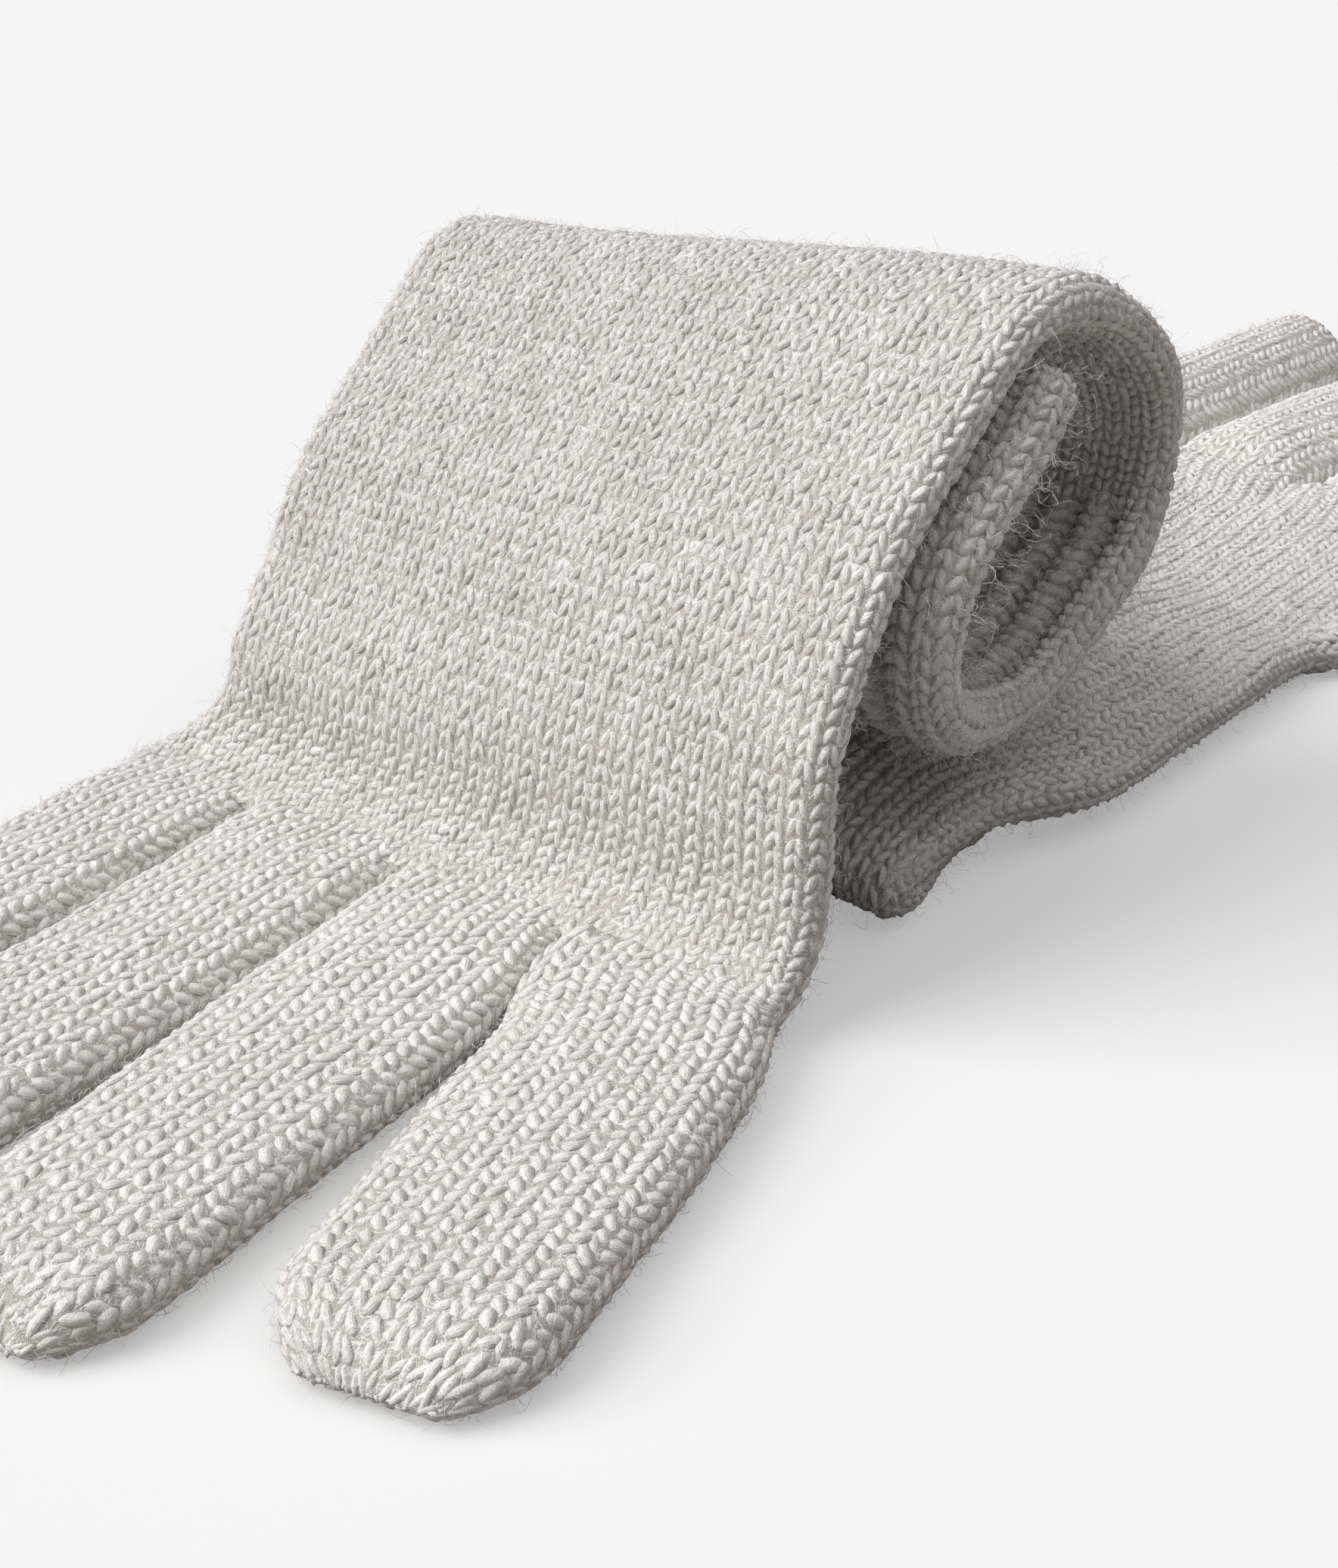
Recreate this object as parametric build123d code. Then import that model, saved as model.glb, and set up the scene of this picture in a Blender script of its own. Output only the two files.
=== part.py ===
from build123d import *
import os

# Pair of knitted wool gloves, millimetres, +Z up.
# The left glove lies on the ground with its fingers towards +Y and its cuff folded under.
# The right glove lies across it: fingers on the ground towards -Y, its hand climbs over the
# top, and its ribbed cuff is rolled inwards. The two gloves are mirror images.
# Origin: on the ground, on the flat underside of the left glove's folded cuff.

# fabric
WALL = 2.2              # one layer of knit
LUMEN = 1.0             # space left between the two layers of a flattened tube
BODY_GAP = 0.3          # clearance between pieces that move apart
EDGE_ROUND = 2.0        # roundness of a flattened tube's side edge

# widths and lengths
HAND_WIDTH = 80.0
CUFF_WIDTH = 76.0
HEM_LENGTH = 4.0        # cast-on edge at the end of the cuff
ROOT_GAP = 0.9          # space between two finger roots
LEFT_ROOT_Y = 94.0      # finger root line of the left glove
RIGHT_ROOT_Y = -62.0    # finger root line of the right glove

# fingers, from the index side: root width, middle width, tip width, length, and lean
# towards +X in degrees
FINGERS = {
    "index": (25.0, 24.4, 22.0, 57.5, 13.5),
    "middle": (23.0, 25.0, 22.0, 69.5, 8.0),
    "ring": (21.0, 22.4, 21.0, 65.0, 5.0),
    "little": (18.5, 18.5, 17.0, 50.5, 4.0),
}
WIDEST_AT = 24.0        # distance from the root to a finger's middle width
TIP_LENGTH = 8.0        # drawn-in closing of each fingertip

# thumbs: root width, middle width, tip width, length
THUMB = (21.0, 22.0, 20.0, 52.0)
LEFT_THUMB_Y = 62.0     # middle of the thumb opening on the left glove's edge
LEFT_THUMB_LEAN = 38.0  # degrees from +Y towards +X
RIGHT_THUMB_FROM = 13.0 # distances along the right hand's line that the folded thumb spans
RIGHT_THUMB_TO = 30.0
THUMB_SPACE = 0.8       # between the right palm and the thumb folded behind it

# linking stitches
JOIN_WIDTH = 1.7
JOIN_LENGTH = 3.6

THICK = 2 * WALL + LUMEN          # a flattened tube
LYING = THICK / 2                 # mid height of a tube on the ground
FOLD_RADIUS = 5.7                 # mid radius of the left cuff's fold
FOLD_Y = -28.0                    # where the left cuff turns under
LEFT_CUFF_END = 29.0

# mid lines of the flattened tubes, (y, z)
LEFT_HAND_LINE = [
    (LEFT_ROOT_Y, LYING), (76, LYING), (60, LYING + 0.1), (48, 4.6), (35, 8.6),
    (20, 11.2), (0, 13.4), (-18, 2 * FOLD_RADIUS + LYING),
]
RIGHT_LINE = [
    (RIGHT_ROOT_Y, LYING), (-57.4, 4.3), (-54.8, 9.5), (-54, 17), (-53, 25), (-49.5, 33),
    (-44.5, 40.5), (-39, 46.5), (-33.5, 52), (-27.5, 57.3), (-20, 60.2), (-12, 58.8),
    (-4, 54.2), (2.5, 48), (6.3, 41.5), (6.6, 35.5), (3.6, 30.6), (-2, 26.6), (-9, 23),
    (-17, 20.3), (-24, 19.8), (-31, 22), (-36, 27.5), (-37.2, 34.5), (-34.4, 41),
    (-29.9, 46), (-25, 50.5),
]
RIGHT_HAND_LENGTH = 116.0         # along its line, from the finger roots to the rib
SMOOTH_STEPS = 28


def save(name, *solids):
    """Write one named piece, or a group of like pieces."""
    shape = solids[0] if len(solids) == 1 else Compound(children=list(solids))
    shape.label = name
    export_step(shape, f"parts/{name}.step")


def spline_line(points):
    """A smooth mid line through (y, z) points, in the YZ plane."""
    return Spline(*[Vector(0, y, z) for y, z in points])


def along(line, distance):
    """The point and the upward normal at a distance along a mid line."""
    tangent = line.tangent_at(distance, position_mode=PositionMode.LENGTH)
    point = line.position_at(distance, position_mode=PositionMode.LENGTH)
    return point, Vector(0, -tangent.Z, tangent.Y)


def band_face(line, thickness, start, end):
    """The side view of a layer that follows a stretch of a mid line, in the YZ plane."""
    upper, lower = [], []
    for step in range(SMOOTH_STEPS + 1):
        point, normal = along(line, start + (end - start) * step / SMOOTH_STEPS)
        upper.append(point + normal * (thickness / 2))
        lower.append(point - normal * (thickness / 2))
    sides = [Spline(*upper), Spline(*lower)]
    ends = [Line(upper[0], lower[0]), Line(upper[-1], lower[-1])]
    return make_face(sides + ends)


def across(face, width, centre=0.0):
    """Push a side view out across the glove, along X."""
    return Pos(centre - width / 2, 0, 0) * extrude(face, amount=width, dir=(1, 0, 0))


def flat_tube(line, width, start, end):
    """A flattened knitted tube along a mid line: two layers joined at both side edges."""
    outside = across(band_face(line, THICK, start, end), width)
    rims = [e for e in outside.edges() if abs(abs(e.center().X) - width / 2) < 0.01]
    long_rims = [e for e in rims if e.length > THICK * 1.5]
    outside = fillet(long_rims, EDGE_ROUND)
    inside = across(band_face(line, LUMEN, start, end), width - 2 * WALL)
    return outside - inside


def slot_at(width, height, distance):
    """The cross-section of a finger tube, standing across its own Y axis."""
    plane = Plane(origin=(0, distance, 0), x_dir=(1, 0, 0), z_dir=(0, 1, 0))
    return plane * SlotOverall(width, height)


def finger_pieces(root_width, middle_width, tip_width, length, back=6.0):
    """A finger tube and its drawn-in tip, along local +Y from the root at 0."""
    body_end = length - TIP_LENGTH
    stations = [(-back, root_width), (WIDEST_AT, middle_width), (body_end, tip_width)]
    tube = loft([slot_at(width, THICK, at) for at, width in stations])
    bore = loft([slot_at(width - 2 * WALL, LUMEN, at) for at, width in stations])
    tip = loft([
        slot_at(tip_width, THICK, body_end),
        slot_at(tip_width * 0.9, THICK * 0.95, body_end + TIP_LENGTH * 0.6),
        slot_at(tip_width * 0.55, THICK * 0.6, length),
    ], ruled=True)
    return tube - bore, tip


def placed(shape, x, y, lean, towards):
    """Lay a finger piece on the ground: towards is +1 for +Y fingers, -1 for -Y fingers."""
    turned = Rot(0, 0, -lean) * shape
    if towards < 0:
        turned = mirror(turned, about=Plane.XZ)
    return Pos(x, y, LYING) * turned


def root_centres():
    """Middle of each finger root across the hand, starting at the index edge."""
    edge = HAND_WIDTH / 2
    centres = {}
    for name, (root_width, *_) in FINGERS.items():
        centres[name] = edge - root_width / 2
        edge -= root_width + ROOT_GAP
    return centres


def crotch_places():
    """Middle of each gap between two finger roots."""
    centres = root_centres()
    names = list(FINGERS)[:-1]
    return [centres[n] - FINGERS[n][0] / 2 - ROOT_GAP / 2 for n in names]


def build_fingers(side, root_y, towards):
    """Four finger tubes with their tips, and the linking stitches between their roots."""
    start_y = root_y + towards * BODY_GAP
    hand_side = Pos(0, start_y - towards * 20, 0) * Box(200, 40, 40)
    join_y = start_y + towards * JOIN_LENGTH / 2
    notch_size = (JOIN_WIDTH + 2 * BODY_GAP, JOIN_LENGTH + 2 * BODY_GAP, 3 * THICK)
    notches = [Pos(x, join_y, LYING) * Box(*notch_size) for x in crotch_places()]
    for name, (*widths, length, lean) in FINGERS.items():
        tube, tip = finger_pieces(*widths, length)
        x = root_centres()[name]
        tube = placed(tube, x, start_y, lean, towards) - hand_side
        for notch in notches:
            tube = tube - notch
        save(f"{side}_{name}_finger", tube)
        save(f"{side}_{name}_tip", placed(tip, x, start_y, lean, towards))
    joins = [
        Pos(x, join_y, LYING) * fillet(
            Box(JOIN_WIDTH, JOIN_LENGTH, THICK - 2 * BODY_GAP).edges().filter_by(Axis.Z),
            JOIN_WIDTH / 3)
        for x in crotch_places()
    ]
    save(f"{side}_crotch_joins", *joins)


def build_left_cuff():
    """Cuff that turns down round the near end and runs back under the hand."""
    top_y, top_z = LEFT_HAND_LINE[-1]
    centre_z = LYING + FOLD_RADIUS
    hem_start = LEFT_CUFF_END - HEM_LENGTH

    def section(thickness):
        half = thickness / 2
        outer, inner = FOLD_RADIUS + half, FOLD_RADIUS - half
        top = Pos(0, (top_y + FOLD_Y) / 2, top_z) * Box(1, top_y - FOLD_Y, thickness)
        low = Pos(0, (hem_start + FOLD_Y) / 2, LYING) * Box(1, hem_start - FOLD_Y, thickness)
        ring = Pos(0, FOLD_Y, centre_z) * Rot(0, 90, 0) * (
            Cylinder(outer, 1) - Cylinder(inner, 1))
        bend = ring & (Pos(0, FOLD_Y - 50, centre_z) * Box(1, 100, 100))
        side = (top + low + bend).faces().sort_by(Axis.X)[-1]
        return Pos(-0.5, 0, 0) * side

    cuff = across(section(THICK), CUFF_WIDTH)
    rims = [e for e in cuff.edges() if abs(abs(e.center().X) - CUFF_WIDTH / 2) < 0.01]
    cuff = fillet([e for e in rims if e.length > THICK * 1.02], EDGE_ROUND)
    cuff = cuff - across(section(LUMEN), CUFF_WIDTH - 2 * WALL)
    hem_y = hem_start + HEM_LENGTH / 2
    hem = Pos(0, hem_y, LYING) * Box(CUFF_WIDTH, HEM_LENGTH, THICK)
    mouth = Pos(0, hem_y, LYING) * Box(CUFF_WIDTH - 2 * WALL, HEM_LENGTH, LUMEN)
    save("left_rib_cuff", cuff)
    save("left_cuff_hem", hem - mouth)


def build_right_glove():
    """Hand that climbs over the top, and a cuff rolled inwards that ends in a tongue."""
    line = spline_line(RIGHT_LINE)
    cuff_end = line.length - HEM_LENGTH
    save("right_hand", flat_tube(line, HAND_WIDTH, 0, RIGHT_HAND_LENGTH))
    save("right_rib_cuff", flat_tube(line, CUFF_WIDTH, RIGHT_HAND_LENGTH, cuff_end))
    hem = across(band_face(line, THICK, cuff_end, line.length), CUFF_WIDTH)
    mouth = across(band_face(line, LUMEN, cuff_end, line.length), CUFF_WIDTH - 2 * WALL)
    save("right_cuff_hem", hem - mouth)


def build_left_thumb():
    """Thumb lying beside the left hand, cut to the line of the hand's side edge."""
    cut_x = HAND_WIDTH / 2 + JOIN_WIDTH + 2 * BODY_GAP
    tube, tip = finger_pieces(*THUMB, back=14.0)
    hand_side = Pos(cut_x - 50, LEFT_THUMB_Y, 0) * Box(100, 100, 40)
    place = (cut_x, LEFT_THUMB_Y, LEFT_THUMB_LEAN, 1)
    save("left_thumb", placed(tube, *place) - hand_side)
    save("left_thumb_tip", placed(tip, *place))
    join_x = (HAND_WIDTH + JOIN_WIDTH + BODY_GAP) / 2
    join = Pos(join_x, LEFT_THUMB_Y, LYING) * Box(JOIN_WIDTH, THUMB[0], THICK - 2 * EDGE_ROUND)
    save("left_thumb_join", join)


def build_right_thumb():
    """Thumb folded flat across the palm, between the hand and the rolled cuff."""
    line = spline_line(RIGHT_LINE)
    low, _ = along(line, RIGHT_THUMB_FROM)
    high, _ = along(line, RIGHT_THUMB_TO)
    up = (high - low).normalized()
    back = Vector(0, up.Z, -up.Y)
    root_x = HAND_WIDTH / 2 - JOIN_WIDTH - 2 * BODY_GAP
    centre = (low + high) / 2 + back * (THICK + THUMB_SPACE) + Vector(root_x, 0, 0)
    tube, tip = finger_pieces(*THUMB, back=0.0)
    place = Plane(origin=centre, x_dir=up, z_dir=-back)
    save("right_thumb", place * tube)
    save("right_thumb_tip", place * tip)
    join_plane = Plane(origin=centre + Vector(BODY_GAP * 2 + JOIN_WIDTH / 2, 0, 0),
                       x_dir=up, z_dir=-back)
    save("right_thumb_join", join_plane * Box(THUMB[0] * 0.8, JOIN_WIDTH, THICK))


os.makedirs("parts", exist_ok=True)
left_line = spline_line(LEFT_HAND_LINE)
save("left_hand", flat_tube(left_line, HAND_WIDTH, 0, left_line.length))
build_left_cuff()
build_right_glove()
build_fingers("left", LEFT_ROOT_Y, 1)
build_fingers("right", RIGHT_ROOT_Y, -1)
build_left_thumb()
build_right_thumb()
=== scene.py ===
import math

import bpy
import numpy as np
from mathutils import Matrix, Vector


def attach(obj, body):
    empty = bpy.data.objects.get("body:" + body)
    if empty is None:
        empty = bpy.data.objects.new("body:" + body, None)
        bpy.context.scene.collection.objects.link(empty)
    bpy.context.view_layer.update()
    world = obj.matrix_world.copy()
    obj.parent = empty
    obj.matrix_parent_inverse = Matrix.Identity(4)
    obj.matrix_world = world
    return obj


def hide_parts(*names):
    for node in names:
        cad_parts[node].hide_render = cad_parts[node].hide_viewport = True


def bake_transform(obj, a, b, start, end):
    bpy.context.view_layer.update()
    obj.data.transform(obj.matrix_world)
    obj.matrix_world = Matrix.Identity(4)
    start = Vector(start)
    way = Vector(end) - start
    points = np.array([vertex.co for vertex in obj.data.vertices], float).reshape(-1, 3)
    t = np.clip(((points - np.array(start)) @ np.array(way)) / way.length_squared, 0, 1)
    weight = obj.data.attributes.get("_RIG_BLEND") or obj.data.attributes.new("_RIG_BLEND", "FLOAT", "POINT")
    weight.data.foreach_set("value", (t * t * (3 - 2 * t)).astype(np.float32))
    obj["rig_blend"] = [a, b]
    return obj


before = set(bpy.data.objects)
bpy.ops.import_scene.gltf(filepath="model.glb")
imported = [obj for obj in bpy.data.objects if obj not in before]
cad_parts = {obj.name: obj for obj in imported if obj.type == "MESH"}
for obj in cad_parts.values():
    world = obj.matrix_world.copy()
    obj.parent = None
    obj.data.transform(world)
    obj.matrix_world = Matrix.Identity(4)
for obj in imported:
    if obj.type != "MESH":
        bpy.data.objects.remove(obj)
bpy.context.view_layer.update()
MM = 0.001

# Knit
COURSE = 1.7 * MM      # height of one row of stitches
HALF_COLUMN = 1.1 * MM          # width of half a stitch that a yarn leg is shaped for
GROUND = 2.3 * MM      # from the middle of a flat tube to the ground its stitches stand on
FURROW, RIDGE = -1.7 * MM, 0.35 * MM    # how far a rib's purl and plain columns stand out
RIB_WIDTHS = {"purl": -0.50, "plain": 0.12, "rim": -0.26}       # change in a column's share of the width
RIB_RUN = 7 * MM       # a rib comes up over this length
RIB_EDGE = 1.6 * MM    # and it fades out nearer than this to the middle surface, round the rims
SINKING = 0.32 * MM    # how far a stitch would sink into the ground if it had no relief
FINGER_WALES = {"index": 10, "middle": 9, "ring": 9, "little": 8}
FINGER_NAMES = list(FINGER_WALES)
HAND_WALES = sum(FINGER_WALES.values())
HALF_WALES = 4 * HAND_WALES     # half columns all the way round a hand
THUMB_HALF_WALES = 40
UNEVEN = {"off": 0.30 * MM, "across": 0.22 * MM, "along": 0.25 * MM}   # wander of a hand's stitches
FINGER_UNEVEN = {"off": 0.12 * MM, "across": 0.15 * MM}

# Hands and cuffs
HAND_HALF = 39.5 * MM  # half the width of a hand
CUFF_HALF = 37.5 * MM
ROOT_EDGE = {"right": 37.2 * MM, "left": 39.5 * MM}    # index finger's side of the finger roots
ROOT_LEFT = 49.0 * MM  # how far the little finger's root flares out
ROOT_Y = {"right": -62 * MM, "left": 94 * MM}
TOWARDS = {"right": -1, "left": 1}      # which way the fingers point along Y
HAND_LENGTH = 116.0 * MM
RIB_FROM = {"right": HAND_LENGTH, "left": 142 * MM}
HEM = 4.0 * MM         # length of the cast-on edge
HEM_HALF = 0.7 * MM    # half the thickness of the cast-on edge's inside turn
FLAT = 2.7 * MM        # height of the middle of a tube that lies on the ground
CLEAR = 0.3 * MM       # what would lie lower than this is squeezed to stay above the ground

# Changes along a hand, from its finger roots: how much, where it starts, and over what distance
WAIST = (HAND_HALF - CUFF_HALF, 96 * MM, 22 * MM)       # a hand narrows to its cuff
TAPER = (2.3 * MM, 45 * MM, 48 * MM)            # the right hand widens to its full width
NEAR_END = (3.6 * MM, 98 * MM, 16 * MM)         # the left glove narrows under the roll
FOLDED_END = (3.9 * MM, 138 * MM, 16 * MM)      # and narrows once more in its folded cuff
ROLL_SLIDE = (3.4 * MM, 152 * MM, 42 * MM)      # the roll's inner turns slide out to +X
LAG = (5.0 * MM, 16 * MM, 14 * MM)              # the climbing hand's far side lags behind
LAG_END, LAG_FADE = 84 * MM, 22 * MM            # and catches up by here, over this distance
DOME_FADE = (12 * MM, 55 * MM)                  # where the left hand's dome starts to fade, and over what

SAG, SAG_FROM = 0.13, 17 * MM   # share by which the right glove's far side is lower, above this height
DROOP = (0.80, 12 * MM, 28 * MM)        # share by which the left glove's near side is lower, across
DOME, DOME_HALF = 3.4 * MM, 41 * MM     # the left hand's back is higher along its middle

# Fingers: root, middle and tip width and length in millimetres, lean towards +X in degrees
FINGERS = {
    "index": (25.4, 26.2, 24.6, 58.6, 14.2),
    "middle": (22.6, 24.8, 23.2, 70.3, 8.0),
    "ring": (22.0, 22.6, 21.0, 65.0, 5.0),
    "little": (19.6, 19.0, 17.5, 50.5, 4.0),
}
# Degrees that a finger swings towards +X just past its root, and back
SWING = {"right": {"index": 15, "middle": 6, "ring": 2}, "left": {"ring": 12, "little": 14}}
# How much higher a finger is along its middle, and how far before its root that begins
CROWN = {"right": (1.35 * MM, 1.0 * MM), "left": (5.6 * MM, 6.0 * MM)}
TALLER = {("left", "ring"): 1.5, ("left", "little"): 1.5}      # how many times higher a crown is
CROWN_RUN = 8 * MM     # distance past the root where it is full
FINGER_HEIGHT = 2.75 * MM       # height of a finger's middle
ROOT_LIFT = 0.8 * MM   # how much higher the right fingers' roots are
BELLY = 24 * MM        # where a finger has its middle width
UNDERSIDE = 0.84       # a finger's lower layer is this much nearer, so that its stitches clear the ground
TIP_LENGTH = 6.5 * MM  # length over which a tip closes
TIP_POWER = 2.3        # 2 would make its closing a plain arc
TIP_DROP = 0.9 * MM    # how far its end turns down
TIP_SIDES, TIP_SIDES_RUN = 0.42, 11 * MM        # share that its sides draw in, and over what length
THUMB = (21.0, 22.0, 20.0, 52.0)        # widths and length in millimetres
THUMB_ROOT = (39.5 * MM, 62.0 * MM)     # the left thumb's root
LEFT_THUMB_LEAN = 38.0  # degrees towards +X
LEFT_THUMB_BEND = (38.5 * MM, 50 * MM)  # where it bends, across
RIGHT_THUMB_X = 27.0 * MM       # its root across the hand
RIGHT_THUMB_OFF = 6.0 * MM      # from the palm's middle surface to the thumb's

# How far stitches stand out, where 1 is unbrushed
HAND_RELIEF = {"right": (1.1, 0.84), "left": (1.25, 0.74)}      # at the cuff, at the finger roots
CUFF_RELIEF, TIP_RELIEF = 1.25, 0.72
LEFT_THUMB_RELIEF = (0.85, 0.78)

# Loose fibres to the square metre; for curls also the longest one's size
HAND_HAIRS = {"right": 1150000.0, "left": 480000.0}
THUMB_HAIRS = 450000.0
LINK_HAIRS = 1500000.0
HAND_CURLS = (160000.0, 0.7)
CUFF_CURLS = {"right": (900000.0, 1.25), "left": (350000.0, 0.8)}
HEM_CURLS = (900000.0, 1.25)

# Middle of each glove's fabric, (y, z) in millimetres, from the finger roots to the end of the cuff
RIGHT_LINE = [
    (-62, 3.5), (-57.6, 5.0), (-54.8, 9.5), (-54, 17), (-53, 25), (-49.5, 33),
    (-44.5, 40.5), (-39, 46.5), (-33.5, 52), (-27.5, 57.3), (-20, 60.2), (-12, 58.8),
    (-4, 54.2), (2.5, 48), (6.3, 41.5), (6.6, 35.5), (3.6, 30.6), (-2, 26.6), (-9, 23),
    (-17, 20.3), (-24, 19.8), (-31, 22), (-36, 27.5), (-37.2, 34.5), (-34.4, 41),
    (-29.9, 46), (-25, 50.5), (-21.3, 54.3),
]
LEFT_LINE = [
    (94, 2.7), (76, 2.7), (60, 2.8), (48, 4.6), (35, 8.6), (20, 11.2), (0, 13.4),
    (-18, 14.1), (-29, 14.1), (-33.4, 12.4), (-35.2, 8.4), (-33.4, 4.4), (-29, 2.7),
    (-18, 2.7), (0, 2.7), (15, 2.7), (29, 2.7),
]


# ------------------------------------------------------------------ lines and outlines

def smooth(t):
    """An even step from 0 to 1."""
    t = np.clip(t, 0.0, 1.0)
    return t * t * (3 - 2 * t)


def step(place, start, run):
    """An even step from 0 to 1 that begins at start and takes the distance run."""
    return smooth((place - start) / run)


def change(place, amount, start, run):
    """An even step from 0 to amount."""
    return amount * step(place, start, run)


def swell(u, v, seed, count=8):
    """A gentle uneven rise and fall over a surface, about -1 to 1, from count waves."""
    rng = np.random.default_rng(seed)
    waves = rng.uniform((0, 0, 12 * MM), (2 * np.pi, 2 * np.pi, 34 * MM), (count, 3))
    angle, phase, length = waves.T[..., None]
    across = u * np.cos(angle) + v * np.sin(angle)
    return np.sin(across * 2 * np.pi / length + phase).sum(0) / count ** 0.5


class Line:
    """A smooth line through (y, z) points in millimetres, read by distance along it."""

    def __init__(self, points, samples=1500):
        p = np.array(points, float) * MM
        h = np.linalg.norm(np.diff(p, axis=0), axis=1)
        chord = np.concatenate([[0], np.cumsum(h)])
        n = len(p)
        a = np.eye(n)
        b = np.zeros((n, 2))
        for i in range(1, n - 1):
            a[i, i - 1:i + 2] = h[i - 1], 2 * (h[i - 1] + h[i]), h[i]
            b[i] = 6 * ((p[i + 1] - p[i]) / h[i] - (p[i] - p[i - 1]) / h[i - 1])
        m = np.linalg.solve(a, b)
        t = np.linspace(0, chord[-1], samples)
        k = np.clip(np.searchsorted(chord, t, side="right") - 1, 0, n - 2)
        u, w, hk = (t - chord[k])[:, None], (chord[k + 1] - t)[:, None], h[k][:, None]
        self.p = ((m[k] * w ** 3 + m[k + 1] * u ** 3) / (6 * hk)
                  + (p[k] / hk - m[k] * hk / 6) * w + (p[k + 1] / hk - m[k + 1] * hk / 6) * u)
        steps = np.linalg.norm(np.diff(self.p, axis=0), axis=1)
        self.s = np.concatenate([[0], np.cumsum(steps)])
        self.length = self.s[-1]

    def at(self, s):
        """(y, z) at each distance, running straight on past both ends."""
        inside = np.clip(s, 0, self.length)
        over = (s - inside)[..., None]
        first = (self.p[1] - self.p[0]) / (self.s[1] - self.s[0])
        last = (self.p[-1] - self.p[-2]) / (self.s[-1] - self.s[-2])
        y = np.interp(inside, self.s, self.p[:, 0])
        z = np.interp(inside, self.s, self.p[:, 1])
        return np.stack([y, z], -1) + over * np.where(over < 0, first, last)


def rim_columns(count):
    """True for the half columns round a flat tube's two rims."""
    return (np.arange(count) + 4) % (count // 2) < 8


def purl_columns(count):
    """True for the half columns that lie in the furrows of a rib. The tube's two rims are plain."""
    return ((np.arange(count) // 2) % 2 == 1) & ~rim_columns(count)


def ribbed(n, rib):
    """Places off a tube's middle surface, moved out or in with the ridges and furrows of a rib."""
    cell = np.where(purl_columns(len(n)), FURROW, RIDGE) * rib
    rise = (cell + np.roll(cell, 1)) / 2
    return n + np.sign(n) * rise * smooth(abs(n) / RIB_EDGE)


def outline(left, right, half_thick, count, ribs=0.0):
    """Cross-section of a flattened tube as count places (x, n): from the left edge over the back,
    round the right edge and back along the palm. ribs, from 0 to 1, closes up every second column of
    stitches and both rims, as ribbing does."""
    flat = right - left - 2 * half_thick
    turn = np.pi * half_thick
    share = np.ones(count)
    purl = purl_columns(count)
    for kind, columns in (("purl", purl), ("plain", ~purl), ("rim", rim_columns(count))):
        share[columns] += RIB_WIDTHS[kind] * ribs
    places = np.concatenate([[0], np.cumsum(share)])[:-1] / share.sum() * 2 * (flat + turn)
    x, n = np.zeros(count), np.zeros(count)
    for i, place in enumerate(places):
        d = (place - turn / 2) % (2 * (flat + turn))
        if d < flat:
            x[i], n[i] = left + half_thick + d, half_thick
        elif d < flat + turn:
            t = (d - flat) / half_thick
            x[i], n[i] = right - half_thick * (1 - np.sin(t)), half_thick * np.cos(t)
        elif d < 2 * flat + turn:
            x[i], n[i] = right - half_thick - (d - flat - turn), -half_thick
        else:
            t = (d - 2 * flat - turn) / half_thick
            x[i], n[i] = left + half_thick * (1 - np.sin(t)), -half_thick * np.cos(t)
    return x, n


# ------------------------------------------------------------------ the two gloves' surfaces

LINES = {"right": Line(RIGHT_LINE), "left": Line(LEFT_LINE)}


def right_place(s, x):
    """Middle surface of the right glove: distance from the finger roots, and place across."""
    y, z = np.moveaxis(LINES["right"].at(s), -1, 0)
    far = smooth((HAND_HALF - x) / (2 * HAND_HALF))
    z = z - far * SAG * np.clip(z - SAG_FROM, 0, None)
    y = y + far * change(s, *LAG) * smooth((LAG_END - s) / LAG_FADE)
    return np.stack([x + change(s, *ROLL_SLIDE) + 0 * y, y, z], -1)


def left_place(s, x):
    """Middle surface of the left glove. Its index finger's side droops to the ground."""
    y, z = np.moveaxis(LINES["left"].at(s), -1, 0)
    z = FLAT + (z - FLAT) * (1 - change(x, *DROOP))
    return np.stack([x + 0 * y, y, z], -1)


PLACES = {"right": right_place, "left": left_place}


def lift_off(place, s, x, n):
    """Points at n off the middle surface that place(s, x) gives, square to it."""
    near = 0.3 * MM
    ds = place(s + near, x) - place(s - near, x)
    dx = place(s, x + near) - place(s, x - near)
    up = np.cross(ds, dx)
    up /= np.linalg.norm(up, axis=-1, keepdims=True)
    return place(s, x) + up * n[..., None]


def partings(side):
    """Places across the hand where the fingers part, from the index finger's side."""
    wide = (ROOT_EDGE[side] + ROOT_LEFT) / HAND_WALES
    return ROOT_EDGE[side] - wide * np.cumsum([FINGER_WALES[name] for name in FINGER_NAMES[:-1]])


def finger_roots(side):
    """Middle of each finger's root across the hand."""
    edges = np.concatenate([[ROOT_EDGE[side]], partings(side), [-ROOT_LEFT]])
    return dict(zip(FINGER_NAMES, (edges[:-1] + edges[1:]) / 2))


def valleys(side, s, x, depth=1.6 * MM, half_width=2.2 * MM, reach=11 * MM):
    """Soft furrows that run up the hand from between the finger roots."""
    total = sum(np.exp(-((x - place) / half_width) ** 2) for place in partings(side))
    return depth * total * np.exp(-np.clip(s, 0, None) / reach)


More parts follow.
